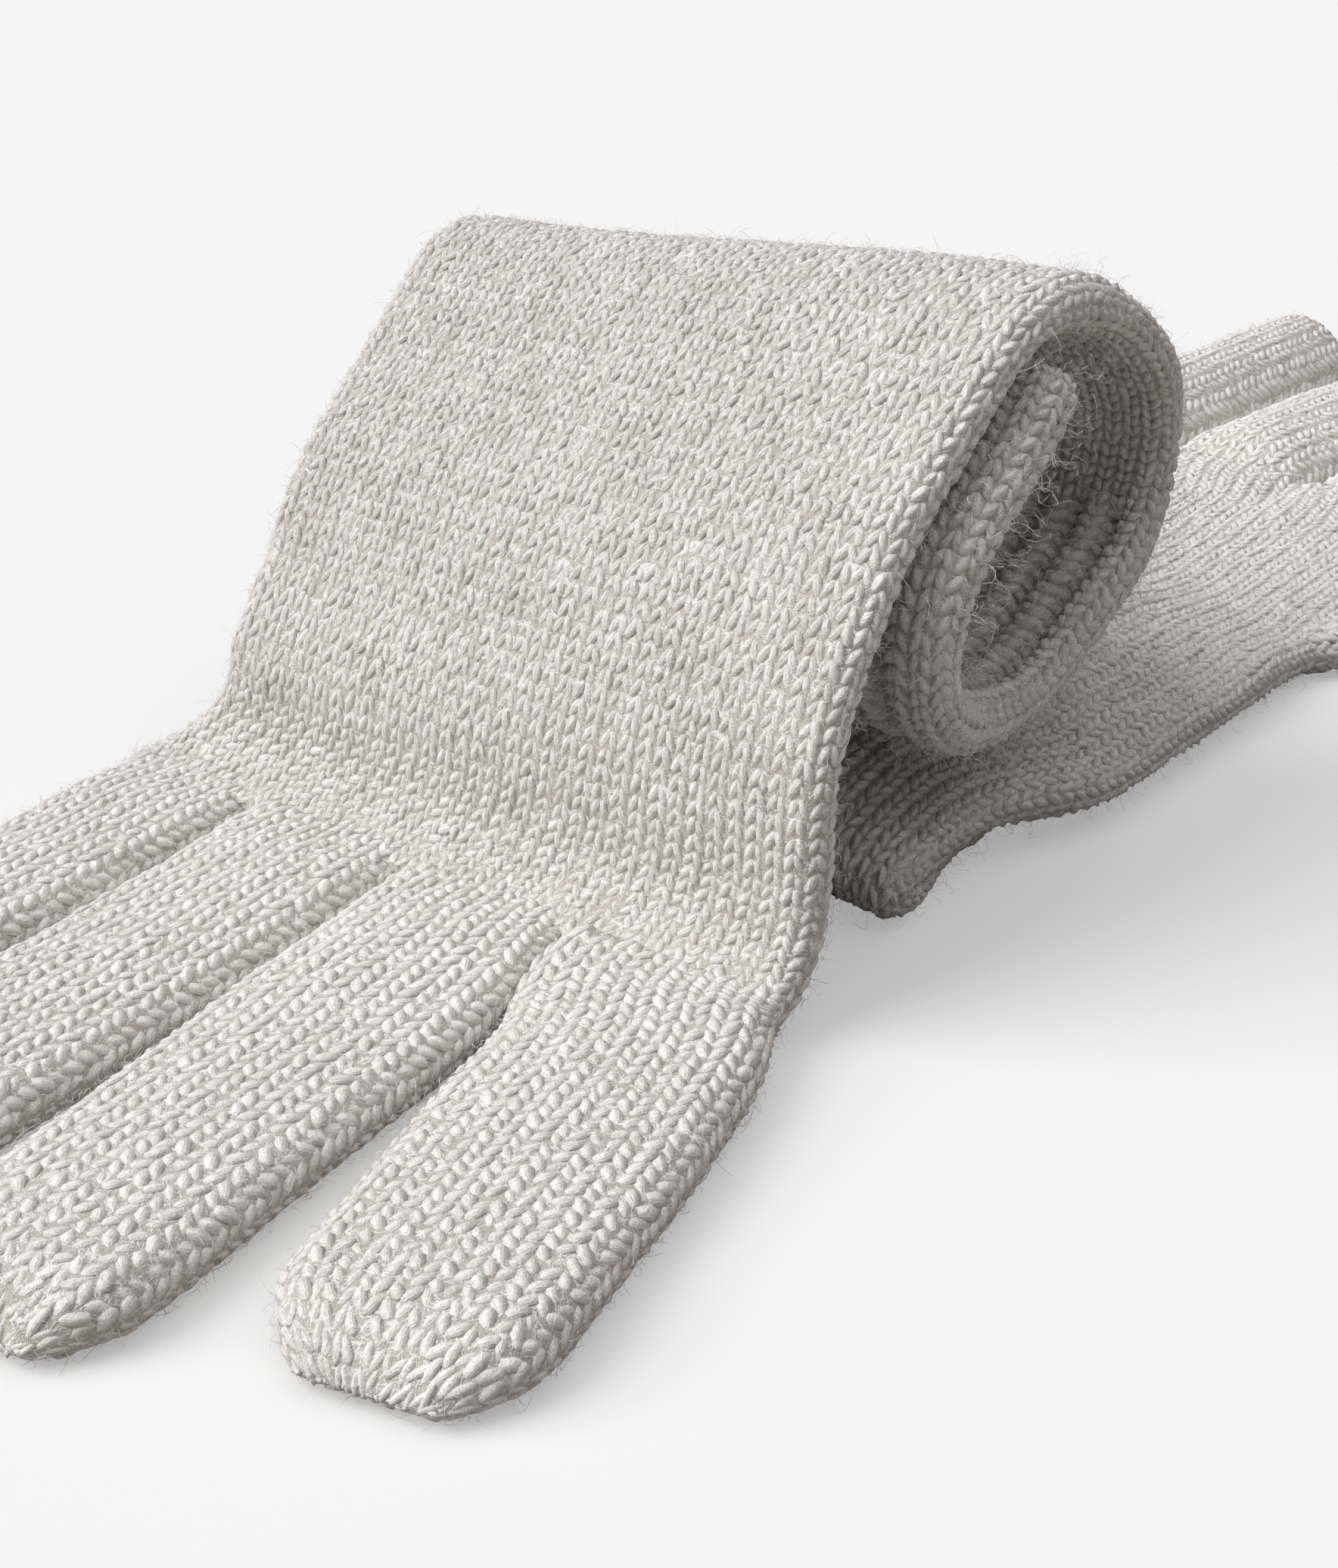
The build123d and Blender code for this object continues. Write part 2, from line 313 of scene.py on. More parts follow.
def edges_at(side, s):
    """Left and right edge of a glove's flat tube at a distance from its finger roots."""
    flare = (ROOT_LEFT - HAND_HALF) * (1 - step(s, 0, 17 * MM))
    waist = change(s, *WAIST)
    left = -(HAND_HALF + flare) + waist
    right = HAND_HALF - waist
    if side == "left":
        right = right - change(s, *NEAR_END) - change(s, *FOLDED_END)
    else:
        amount, *taper = TAPER
        right = right - amount * (1 - step(s, *taper))
    return left, right


def rows(s_from, s_to):
    """Distances of the edges of the rows of stitches between two places."""
    count = max(1, round(abs(s_to - s_from) / COURSE))
    return np.linspace(s_from, s_to, count + 1)


def tube_grid(side, stations, seed):
    """Corner points of every half stitch on a hand or cuff: rows by half columns."""
    grid = []
    for s in stations:
        rib = float(step(s, RIB_FROM[side], RIB_RUN))
        left, right = edges_at(side, s)
        x, n = outline(left, right, GROUND, HALF_WALES, rib)
        n = ribbed(n, rib)
        ss = np.full_like(x, s)
        back = step(n, -1 * MM, 2 * MM)
        if side == "left":
            dome = DOME * (1 - (x / DOME_HALF) ** 2).clip(0)
            n = n + back * dome * (1 - step(s, *DOME_FADE))
        n = n + back * (UNEVEN["off"] * swell(ss, x, seed) - valleys(side, ss, x))
        across = x + UNEVEN["across"] * swell(ss, x * 0.6, seed + 1)
        along = ss + UNEVEN["along"] * swell(ss * 0.5, x, seed + 2)
        grid.append(lift_off(PLACES[side], along, across, n))
    return np.array(grid)


def hem_grid(side):
    """The cast-on edge: from inside the mouth of the cuff, round the lip, to the outside."""
    end = LINES[side].length
    path = [(end - d, HEM_HALF, 1.8 * MM) for d in np.linspace(5.7, 0.9, 4) * MM]
    path += [(end, (HEM_HALF + GROUND) / 2, 0.9 * MM)]
    path += [(end - d, GROUND, 0.0) for d in np.linspace(0.9, HEM / MM, 3) * MM]
    grid = []
    for s, half, inset in path:
        left, right = edges_at(side, s)
        x, n = outline(left + inset, right - inset, half, HALF_WALES, 1.0)
        if half >= GROUND:
            n = ribbed(n, 1.0)
        grid.append(lift_off(PLACES[side], np.full_like(x, s), x, n))
    return np.array(grid)


def finger_grid(widths, length, half_wales, seed, start=-1.0 * MM, crown=CROWN["right"]):
    """A finger along +Y from its root at 0, lying on the ground at z 0: rows by half columns. Its end
    is drawn in and turned down. crown is how much higher it is along its middle, and how far before
    its root that begins."""
    root, middle, tip = (w * MM for w in widths)
    length = length * MM
    close = length - TIP_LENGTH
    t = np.linspace(start, length, 900)
    u = np.clip((t - close) / (length - close), 0, 1)
    height = (1 - u ** TIP_POWER) ** (1 / TIP_POWER)
    way = np.hypot(np.diff(t), np.diff(height * GROUND * 1.1))
    run = np.concatenate([[0], np.cumsum(way)])
    count = round(run[-1] / COURSE)
    t = np.interp(np.linspace(0, run[-1], count + 1), run, t)
    rise, before = crown
    grid = []
    for d in t:
        v = min(max((d - close) / (length - close), 0), 1)
        width = np.interp(d, [start, BELLY, close, length], [root, middle, tip, tip * 0.9])
        drawn_in = max((d - length + TIP_SIDES_RUN) / TIP_SIDES_RUN, 0)
        width *= 1 - TIP_SIDES * min(drawn_in, 1) ** 3.2
        half = max(GROUND * 1.12 * (1 - v ** TIP_POWER) ** (1 / TIP_POWER), 0.02 * MM)
        x, n = outline(-width / 2 + 0.7 * MM, width / 2 - 0.7 * MM, half, half_wales)
        n = np.where(n < 0, UNDERSIDE * n, n)
        dome = rise * (1 - (x / (width / 2)) ** 2) * (n > 0) * (1 - v)
        dome = dome * step(d, -before, before + CROWN_RUN)
        dd = np.full_like(x, d)
        n = n + dome * smooth(n / GROUND) + FINGER_UNEVEN["off"] * swell(dd, x, seed) * (n > 0)
        across = x + FINGER_UNEVEN["across"] * swell(dd, x, seed + 1)
        grid.append(np.stack([across, dd, n + FINGER_HEIGHT - TIP_DROP * v ** 2], -1))
    return np.array(grid)


def placed_finger(grid, root, lean, towards, swing):
    """A finger grid moved to its root, turning towards +X over its first centimetre or so."""
    t = np.linspace(-4 * MM, 80 * MM, 400)
    angle = math.radians(lean) * step(t, -3 * MM, 11 * MM)
    angle = angle + math.radians(swing) * np.exp(-((t - 7 * MM) / (5.5 * MM)) ** 2)
    ahead = np.diff(t, prepend=t[0])
    cx, cy = np.cumsum(np.sin(angle) * ahead), np.cumsum(np.cos(angle) * ahead)
    cx, cy = cx - np.interp(0, t, cx), cy - np.interp(0, t, cy)
    d = grid[..., 1]
    a = np.interp(d, t, angle)
    x = root[0] + np.interp(d, t, cx) + grid[..., 0] * np.cos(a)
    y = root[1] + towards * (np.interp(d, t, cy) - grid[..., 0] * np.sin(a))
    z = grid[..., 2]
    if towards < 0:
        z = z + ROOT_LIFT * np.exp(-np.clip(d, 0, None) / (7 * MM))
    return np.stack([x, y, z], -1)


def knot_grid(width, length, half_thick, rows_count, half_wales=8):
    """A small plump roll of linking stitches along +Y, round its own middle."""
    grid = []
    for t in np.linspace(-1, 1, rows_count + 1):
        full = max((1 - abs(t) ** 2.5) ** 0.4, 0.15)
        x, n = outline(-width / 2 * full, width / 2 * full, half_thick * full, half_wales)
        grid.append(np.stack([x, np.full_like(x, t * length / 2), n], -1))
    return np.array(grid)


# ------------------------------------------------------------------ meshes

STITCH_FACTS = ("out_way", "wale_way", "cell_width", "cell_height", "leans", "purl")


def cells(grid, purl, relief):
    """1 where a grid's corners turn so that its faces point out, or -1 where they point in, and what
    the yarn leg on every half stitch needs to know."""
    a, b = grid[:-1], np.roll(grid[:-1], -1, axis=1)
    d, c = grid[1:], np.roll(grid[1:], -1, axis=1)
    along, over = (d + c - a - b) / 2, (b + c - a - d) / 2
    out = np.cross(along, over)
    middle = grid.mean(axis=1)
    middle = ((middle[:-1] + middle[1:]) / 2)[:, None]
    centre = (a + b + c + d) / 4
    sign = 1.0 if (out * (centre - middle)).sum() > 0 else -1.0
    out = sign * out / np.maximum(np.linalg.norm(out, axis=-1, keepdims=True), 1e-12)
    height = np.linalg.norm(along, axis=-1)
    side_way = np.cross(along / np.maximum(height, 1e-9)[..., None], out)
    half = np.arange(grid.shape[1])
    leans = np.where(half % 2 == 0, -1.0, 1.0)[None] * np.sign((over * side_way).sum(-1))
    every = np.zeros(height.shape)
    return sign, {
        "out_way": out, "wale_way": along, "cell_width": np.linalg.norm(over, axis=-1),
        "cell_height": height, "leans": leans, "purl": purl + every,
        "relief": np.linspace(*relief, len(height))[:, None] + every}


def knit_mesh(name, grid, purl=0.0, keep=None, lids=True, relief=(1.0, 1.0)):
    """The ground of a knitted tube: one face for each half stitch, with a lid at both ends. relief is
    how far the stitches stand out at the first and the last row, where 1 is unbrushed."""
    count, wide = grid.shape[0] - 1, grid.shape[1]
    sign, facts = cells(grid, purl, relief)
    corner = np.arange(grid.shape[0] * wide).reshape(grid.shape[:2])
    a, b = corner[:-1], np.roll(corner[:-1], -1, axis=1)
    d, c = corner[1:], np.roll(corner[1:], -1, axis=1)
    quads = np.stack([a, d, c, b] if sign > 0 else [a, b, c, d], -1).reshape(-1, 4)
    chosen = np.ones(count * wide, bool) if keep is None else keep.ravel()
    faces = quads[chosen].tolist()
    stitched = len(faces)
    if lids:
        first, last = corner[0].tolist(), corner[-1].tolist()
        faces += [first, last[::-1]] if sign > 0 else [first[::-1], last]
    mesh = bpy.data.meshes.new(name)
    mesh.from_pydata(grid.reshape(-1, 3).tolist(), [], faces)
    for key, fact in facts.items():
        values = fact.reshape(count * wide, -1)[chosen]
        full = np.zeros((len(faces), values.shape[1]))
        full[:stitched] = values
        kind, part = ("FLOAT_VECTOR", "vector") if values.shape[1] == 3 else ("FLOAT", "value")
        mesh.attributes.new(key, kind, "FACE").data.foreach_set(part, full.ravel())
    mesh.polygons.foreach_set("use_smooth", [True] * len(faces))
    return mesh


def thin_tube(points, radii, sides):
    """Corners, faces and yarn coordinates of a closed thin tube that ends in points."""
    points = np.asarray(points, float)
    way = np.gradient(points, axis=0)
    way /= np.linalg.norm(way, axis=1, keepdims=True)
    up = np.array([0.0, 0.0, 1.0])
    corners, faces, coords = [points[0]], [], [(0.5, 0.0)]
    for i in range(1, len(points) - 1):
        side = np.cross(way[i], up)
        side = side / np.linalg.norm(side) if np.linalg.norm(side) > 1e-6 else np.array([1.0, 0, 0])
        rise = np.cross(side, way[i])
        wide, tall = radii[i]
        for k in range(sides):
            t = 2 * math.pi * k / sides
            corners.append(points[i] + side * math.sin(t) * wide + rise * math.cos(t) * tall)
            coords.append((k / sides, i / (len(points) - 1)))
    corners.append(points[-1])
    coords.append((0.5, 1.0))
    last = len(corners) - 1
    rings = len(points) - 2
    for k in range(sides):
        n = (k + 1) % sides
        faces.append((0, 1 + n, 1 + k))
        faces.append((last, 1 + (rings - 1) * sides + k, 1 + (rings - 1) * sides + n))
        for r in range(rings - 1):
            i = 1 + r * sides
            faces.append((i + k, i + n, i + sides + n, i + sides + k))
    return corners, faces, coords


def small_shape(name, corners, faces, coords):
    """A leg of yarn or a fibre, with its yarn coordinates, ready to be set on a ground."""
    mesh = bpy.data.meshes.new(name)
    mesh.from_pydata([tuple(c) for c in corners], [], faces)
    yarn = mesh.uv_layers.new(name="yarn")
    for loop in mesh.loops:
        yarn.data[loop.index].uv = coords[loop.vertex_index]
    mesh.polygons.foreach_set("use_smooth", [True] * len(faces))
    return bpy.data.objects.new(name, mesh)


def yarn_leg(name, lean, sides, seed):
    """One plump yarn leg of a stitch. Both ends dive under its neighbours."""
    spots = (0, 0.18, 0.5, 0.82, 1)
    wide, tall = 0.56 * MM, 0.43 * MM
    rng = np.random.default_rng(seed)
    bow, girth = rng.uniform(-0.05, 0.05), rng.uniform(0.94, 1.06, len(spots))
    points, radii = [], []
    for i, t in enumerate(spots):
        x = (-0.42 + 0.86 * t - (0.10 + bow) * math.sin(math.pi * t)) * HALF_COLUMN * lean
        y = (-0.66 + 1.30 * t) * COURSE
        z = -0.40 * MM + 0.42 * MM * math.sin(math.pi * (0.08 + 0.84 * t)) ** 0.8
        full = math.sin(math.pi * (0.1 + 0.8 * t)) ** 0.45
        points.append((x, y, z))
        radii.append((wide * full * girth[i], tall * full * girth[-i]))
    corners, faces, coords = thin_tube(points, radii, sides)
    corners = np.array(corners) + rng.normal(0, 0.022 * MM, (len(corners), 3))
    return small_shape(name, corners, faces, coords)


def curl(name, seed):
    """A long curly fibre worked loose at an edge."""
    rng = np.random.default_rng(seed)
    t = np.linspace(0, 1, 9)
    turn = rng.uniform(0, 6.28) + rng.uniform(4.5, 8.0) * t * rng.choice((-1, 1))
    wide = rng.uniform(0.5, 0.9) * MM * t ** 0.7
    rise = 3.0 * MM * np.sin(t * rng.uniform(1.2, 2.6))
    points = np.stack([wide * np.cos(turn), 1.6 * MM * t ** 1.5 + wide * np.sin(turn), rise], -1)
    return small_shape(name, *thin_tube(points, [(0.021 * MM, 0.021 * MM)] * len(t), 3))


def loose_fibre(name, seed, long):
    """A single curved hair, standing on the ground at 0: most are short, a few long and curly."""
    rng = np.random.default_rng(seed)
    bend, way, twist = rng.uniform(0.8, 1.9), rng.uniform(0, 6.28), rng.uniform(-1.8, 1.8)
    t = np.linspace(0, 1, 6) if long else np.array([0, 0.45, 1.0])
    length, radius = (3.2 * MM, 0.020 * MM) if long else (1.5 * MM, 0.024 * MM)
    reach = 0.55 * length * bend * t ** 1.5
    turn = way + twist * t * (2.4 if long else 1.2)
    rise = length * (t - 0.3 * bend * t ** 2)
    points = np.stack([reach * np.cos(turn), reach * np.sin(turn), rise], -1)
    return small_shape(name, *thin_tube(points, [(radius, radius)] * len(t), 3))


# ------------------------------------------------------------------ nodes

LEG_KINDS, HAIR_KINDS = 4, 12
LEAST_CELL = 0.1 * MM  # a face with a lower cell holds no stitch
TURN = 6.2832          # a whole turn
LEG_FACTS = ("tone", "yarn", "relief")  # what the yarn's finish reads


def plug(sockets, name):
    """The live socket of that name or number; some nodes hold one for each kind of value."""
    if isinstance(name, int):
        return sockets[name]
    return next(s for s in sockets if s.name == name and s.enabled)


class Nodes:
    """A node tree, with short words for what is put in it."""

    def __init__(self, tree):
        self.tree = tree

    def fill(self, made, values):
        """Gives a node's inputs their values, or links them to where the values come from."""
        for key, value in values.items():
            target = plug(made.inputs, key)
            if isinstance(value, bpy.types.NodeSocket):
                self.tree.links.new(value, target)
            else:
                target.default_value = value

    def node(self, kind, values=None, **facts):
        made = self.tree.nodes.new(kind)
        for key, value in facts.items():
            setattr(made, key, value)
        self.fill(made, values or {})
        return made

    def math(self, operation, *values):
        return self.node("ShaderNodeMath", dict(enumerate(values)), operation=operation).outputs[0]

    def plus(self, a, b):
        return self.math("ADD", a, b)

    def minus(self, a, b):
        return self.math("SUBTRACT", a, b)

    def times(self, a, b):
        return self.math("MULTIPLY", a, b)

    def vector(self, **parts):
        return self.node("ShaderNodeCombineXYZ", parts).outputs[0]

    def scaled(self, vector, amount):
        values = {0: vector, "Scale": amount}
        return self.node("ShaderNodeVectorMath", values, operation="SCALE").outputs[0]

    def summed(self, a, b):
        return self.node("ShaderNodeVectorMath", {0: a, 1: b}, operation="ADD").outputs[0]

    def mapped(self, value, low, high, to_low=0.0, to_high=1.0, **facts):
        """The value, stretched from low and high to to_low and to_high."""
        ends = {"From Min": low, "From Max": high, "To Min": to_low, "To Max": to_high}
        return self.node("ShaderNodeMapRange", {"Value": value} | ends, **facts).outputs[0]

    def mixed(self, factor, a, b):
        """A colour between a and b."""
        values = {"Factor": factor, "A": a, "B": b}
        return plug(self.node("ShaderNodeMix", values, data_type="RGBA").outputs, "Result")

    def noise(self, place, scale, detail, **more):
        values = {"Vector": place, "Scale": scale, "Detail": detail} | more
        return self.node("ShaderNodeTexNoise", values).outputs[0]

    def fact(self, name, kind="FLOAT"):
        """What the ground mesh says of each of its faces."""
        made = self.node("GeometryNodeInputNamedAttribute", {"Name": name}, data_type=kind)
        return plug(made.outputs, "Attribute")

    def chance(self, low, high, seed, kind="FLOAT"):
        """A value drawn for each point."""
        values = {"Min": low, "Max": high, "Seed": seed}
        return plug(self.node("FunctionNodeRandomValue", values, data_type=kind).outputs, "Value")

    def turn(self, **angles):
        made = self.node("FunctionNodeEulerToRotation", {"Euler": self.vector(**angles)})
        return made.outputs[0]

    def turned(self, rotation, by):
        values = {"Rotation": rotation, "Rotate By": by}
        return self.node("FunctionNodeRotateRotation", values, rotation_space="LOCAL").outputs[0]

    def moved(self, points, offset):
        values = {"Geometry": points, "Offset": offset}
        return self.node("GeometryNodeSetPosition", values).outputs[0]

    def set_on(self, points, shapes, which, values):
        """One of a collection's shapes on each point."""
        facts = {"Collection": shapes, "Separate Children": True, "Reset Children": True}
        kinds = self.node("GeometryNodeCollectionInfo", facts, transform_space="ORIGINAL")
        picked = {"Instance": kinds.outputs[0], "Pick Instance": True, "Instance Index": which}
        return self.node("GeometryNodeInstanceOnPoints", {"Points": points} | picked | values).outputs[0]

    def finish(self, end, instances, material):
        """Turns instances into real mesh in one material, at the tree's end."""
        real = self.node("GeometryNodeRealizeInstances", {"Geometry": instances})
        values = {"Geometry": real.outputs[0], "Material": material}
        self.fill(end, {"Geometry": self.node("GeometryNodeSetMaterial", values).outputs[0]})
        return self.tree


def new_group(name, kind, inputs, outputs):
    """An empty node group. A word says what kind of socket an input is, a number or a colour gives
    its value where nothing else does. Returns the group's nodes, its inputs and its end."""
    tree = bpy.data.node_groups.new(name, kind)
    for label, fact in inputs.items():
        sort = fact if isinstance(fact, str) else "Color" if isinstance(fact, tuple) else "Float"
        made = tree.interface.new_socket(label, in_out="INPUT", socket_type=f"NodeSocket{sort}")
        if not isinstance(fact, str):
            made.default_value = fact
    for label, sort in outputs.items():
        tree.interface.new_socket(label, in_out="OUTPUT", socket_type=f"NodeSocket{sort}")
    nodes = Nodes(tree)
    return nodes, nodes.node("NodeGroupInput").outputs, nodes.node("NodeGroupOutput")


def stitch_tree():
    """Sets a yarn leg on every half stitch of a knitted ground."""
    t, get, end = new_group("Knit stitches", "GeometryNodeTree", {
        "Geometry": "Geometry", "Legs to the left": "Collection", "Legs to the right": "Collection",
        "Looseness": "Float", "Sinking": "Float", "Sway": "Float", "Size spread": "Float",
        "Purl turn": "Float", "Seed": "Int", "Yarn": "Material"}, {"Geometry": "Geometry"})

    def drawn(limit, step_on):
        return t.chance(-limit, limit, t.plus(get["Seed"], step_on))

    height, relief, leans = t.fact("cell_height"), t.fact("relief"), t.fact("leans")
    out_way = t.fact("out_way", "FLOAT_VECTOR")
    points = t.node("GeometryNodeMeshToPoints", {
        "Mesh": get["Geometry"], "Selection": t.math("GREATER_THAN", height, LEAST_CELL)}, mode="FACES")
    shaken = t.scaled(t.chance((-1, -1, -1), (1, 1, 1), get["Seed"], "FLOAT_VECTOR"), get["Looseness"])
    sunk = t.scaled(out_way, t.times(t.minus(relief, 1.0), get["Sinking"]))
    places = t.moved(points.outputs[0], t.summed(shaken, sunk))

    facing = t.node("FunctionNodeAxesToRotation", {
        "Primary Axis": out_way, "Secondary Axis": t.fact("wale_way", "FLOAT_VECTOR")},
        primary_axis="Z", secondary_axis="Y").outputs[0]
    purl_turn = t.times(t.times(t.fact("purl"), leans), t.times(get["Purl turn"], -1.0))
    round_way = t.plus(t.times(drawn(1.0, 7), get["Sway"]), purl_turn)
    tilt = t.times(drawn(1.0, 13), get["Sway"])
    rotation = t.turned(facing, t.turn(X=tilt, Z=round_way))

    size = t.plus(1.0, t.times(drawn(1.0, 29), get["Size spread"]))
    wide = t.times(t.math("DIVIDE", t.fact("cell_width"), HALF_COLUMN), size)
    tall = t.times(t.math("DIVIDE", height, COURSE), size)
    up = t.times(size, t.math("MINIMUM", relief, t.plus(wide, 0.25)))
    look = {"Rotation": rotation, "Scale": t.vector(X=wide, Y=tall, Z=up)}
    which = t.chance(0, LEG_KINDS - 1, get["Seed"], "INT")
    joined = t.node("GeometryNodeJoinGeometry")
    for way, operation in (("right", "GREATER_THAN"), ("left", "LESS_THAN")):
        chosen = {"Selection": t.math(operation, leans, 0.0)}
        t.fill(joined, {0: t.set_on(places, get[f"Legs to the {way}"], which, look | chosen)})
    tone = t.math("MULTIPLY_ADD", relief, drawn(0.5, 41), 0.5)
    values = {"Geometry": joined.outputs[0], "Name": "tone", "Value": tone}
    toned = t.node("GeometryNodeStoreNamedAttribute", values, data_type="FLOAT", domain="INSTANCE")
    return t.finish(end, toned.outputs[0], get["Yarn"])


def nap_tree():
    """Scatters loose fibres over a knitted ground."""
    t, get, end = new_group("Loose nap", "GeometryNodeTree", {
        "Geometry": "Geometry", "Hairs": "Collection", "Hairs per square metre": "Float",
        "Shortest": "Float", "Longest": "Float", "Least lean": "Float", "Most lean": "Float",
        "Root height": "Float", "Seed": "Int", "Hair": "Material"}, {"Geometry": "Geometry"})

    def drawn(low, high, step_on):
        return t.chance(low, high, t.plus(get["Seed"], step_on))

    stitched = t.math("GREATER_THAN", t.fact("cell_height"), LEAST_CELL)
    spots = t.node("GeometryNodeDistributePointsOnFaces", {
        "Mesh": get["Geometry"], "Selection": stitched, "Density": get["Hairs per square metre"],
        "Seed": get["Seed"]}, distribute_method="RANDOM").outputs
    roots = t.moved(spots["Points"], t.scaled(spots["Normal"], get["Root height"]))
    spun = t.turned(spots["Rotation"], t.turn(Z=drawn(0.0, TURN, 5)))
    leant = t.turned(spun, t.turn(X=drawn(get["Least lean"], get["Most lean"], 3)))
    which = t.chance(0, HAIR_KINDS - 1, get["Seed"], "INT")
    size = drawn(get["Shortest"], get["Longest"], 9)
    look = {"Rotation": leant, "Scale": t.vector(X=size, Y=size, Z=size)}
    hairs = t.set_on(roots, get["Hairs"], which, look)
    return t.finish(end, hairs, get["Hair"])


STITCHES, NAP = stitch_tree(), nap_tree()


def grown(name, ground, tree, settings):
    """Runs a node tree on a ground mesh and returns the result as a plain mesh."""
    holder = bpy.data.objects.new(name, ground)
    bpy.context.scene.collection.objects.link(holder)
    modifier = holder.modifiers.new("grow", "NODES")
    modifier.node_group = tree
    sockets = {s.name: s.identifier for s in tree.interface.items_tree if s.in_out == "INPUT"}
    for label, value in settings.items():
        modifier[sockets[label]] = value
    graph = bpy.context.evaluated_depsgraph_get()
    mesh = bpy.data.meshes.new_from_object(
        holder.evaluated_get(graph), preserve_all_data_layers=True, depsgraph=graph)
    holder.modifiers.clear()
    bpy.data.objects.remove(holder)
    kept = ("position", "material_index", "sharp_face", *(LEG_FACTS if tree is STITCHES else ()))
    for spare in [a.name for a in mesh.attributes if not a.is_internal and a.name not in kept]:
        mesh.attributes.remove(mesh.attributes[spare])
    mesh.polygons.foreach_set("use_smooth", [True] * len(mesh.polygons))
    return mesh


# ------------------------------------------------------------------ materials

def melange_group():
    """Heathered wool: strands of three shades mixed fibre by fibre, yarn by yarn and in soft patches."""
    t, get, end = new_group("Heathered wool", "ShaderNodeTree", {
        "Position": "Vector", "Tone": 0.5, "Pale": (0.8, 0.8, 0.8, 1), "Middle": (0.6, 0.6, 0.6, 1),
        "Deep": (0.4, 0.4, 0.4, 1), "Patch scale": 90.0, "Fibre scale": 1900.0, "Fibre share": 0.8,
        "Strand": 0.5, "Strand share": 1.3}, {"Color": "Color"})
    patch = t.noise(get["Position"], get["Patch scale"], 3.0)
    fibre = t.noise(get["Position"], get["Fibre scale"], 3.0, Distortion=2.5)
    broad = t.plus(t.times(get["Tone"], 0.30), t.times(patch, 0.50))
    fine = t.plus(t.times(t.minus(fibre, 0.5), get["Fibre share"]),
                  t.times(t.minus(get["Strand"], 0.5), get["Strand share"]))
    shade = t.mapped(t.plus(broad, fine), 0.08, 0.72)
    darker = t.mixed(t.mapped(shade, 0.0, 0.5), get["Deep"], get["Middle"])
    t.fill(end, {"Color": t.mixed(t.mapped(shade, 0.5, 1.0), darker, get["Pale"])})
    return t.tree


def strand_group():
    """The twisted strands of a yarn, from where a point lies round (X) and along (Y) its leg."""
    t, get, end = new_group("Yarn strands", "ShaderNodeTree", {
        "Yarn place": "Vector", "Tone": 0.5, "Turns along": 1.1, "Plies": 3.0, "Strand scale": 5.0},
        {"Height": "Float", "Strand": "Float"})
    place = t.node("ShaderNodeSeparateXYZ", {"Vector": get["Yarn place"]}).outputs
    twisted = t.plus(t.times(place["X"], get["Plies"]), t.times(place["Y"], get["Turns along"]))
    wave = t.math("SINE", t.times(t.plus(twisted, get["Tone"]), TURN))
    ply = t.math("MULTIPLY_ADD", wave, 0.5, 0.5)
    spot = t.vector(X=t.times(twisted, 1.6), Y=t.times(place["Y"], 0.5), Z=t.times(get["Tone"], 37.0))
    streak = t.noise(spot, get["Strand scale"], 3.0, Roughness=0.65)
    t.fill(end, {"Height": t.plus(t.times(ply, 0.45), t.times(streak, 0.9)), "Strand": streak})
    return t.tree


def fluff_group():
    """Matted short fibres: an uneven height, a roughness that follows it, and thin curling hairs."""
    t, get, end = new_group("Matted fibres", "ShaderNodeTree", {
        "Position": "Vector", "Fine scale": 4200.0, "Hair scale": 520.0, "Hair width": 0.045,
        "Least rough": 0.8}, {"Height": "Float", "Roughness": "Float", "Hairs": "Float"})
    fine = t.noise(get["Position"], get["Fine scale"], 2.0, Distortion=2.0)
    hairs = 0.0
    for number in range(3):
        place = t.summed(get["Position"], (0.31 * number, 0.17 * number, 0.0))
        wander = t.noise(place, t.times(get["Hair scale"], 1.0 + 0.35 * number), 1.0, Distortion=1.2)
        off = t.math("ABSOLUTE", t.minus(wander, 0.5))
        line = t.mapped(off, 0.0, get["Hair width"], 1.0, 0.0, interpolation_type="SMOOTHSTEP")
        hairs = t.math("MAXIMUM", hairs, line)
    height = t.plus(t.times(fine, 0.4), t.times(hairs, 0.6))
    rough = t.mapped(height, 0.3, 0.7, get["Least rough"], 1.0)
    t.fill(end, {"Height": height, "Roughness": rough, "Hairs": hairs})
    return t.tree


HEATHER, STRANDS, FLUFF = melange_group(), strand_group(), fluff_group()


def new_finish(name):
    """A material with an empty tree."""
    made = bpy.data.materials.new(name)
    made.use_nodes = True
    made.node_tree.nodes.clear()
    return made, Nodes(made.node_tree)


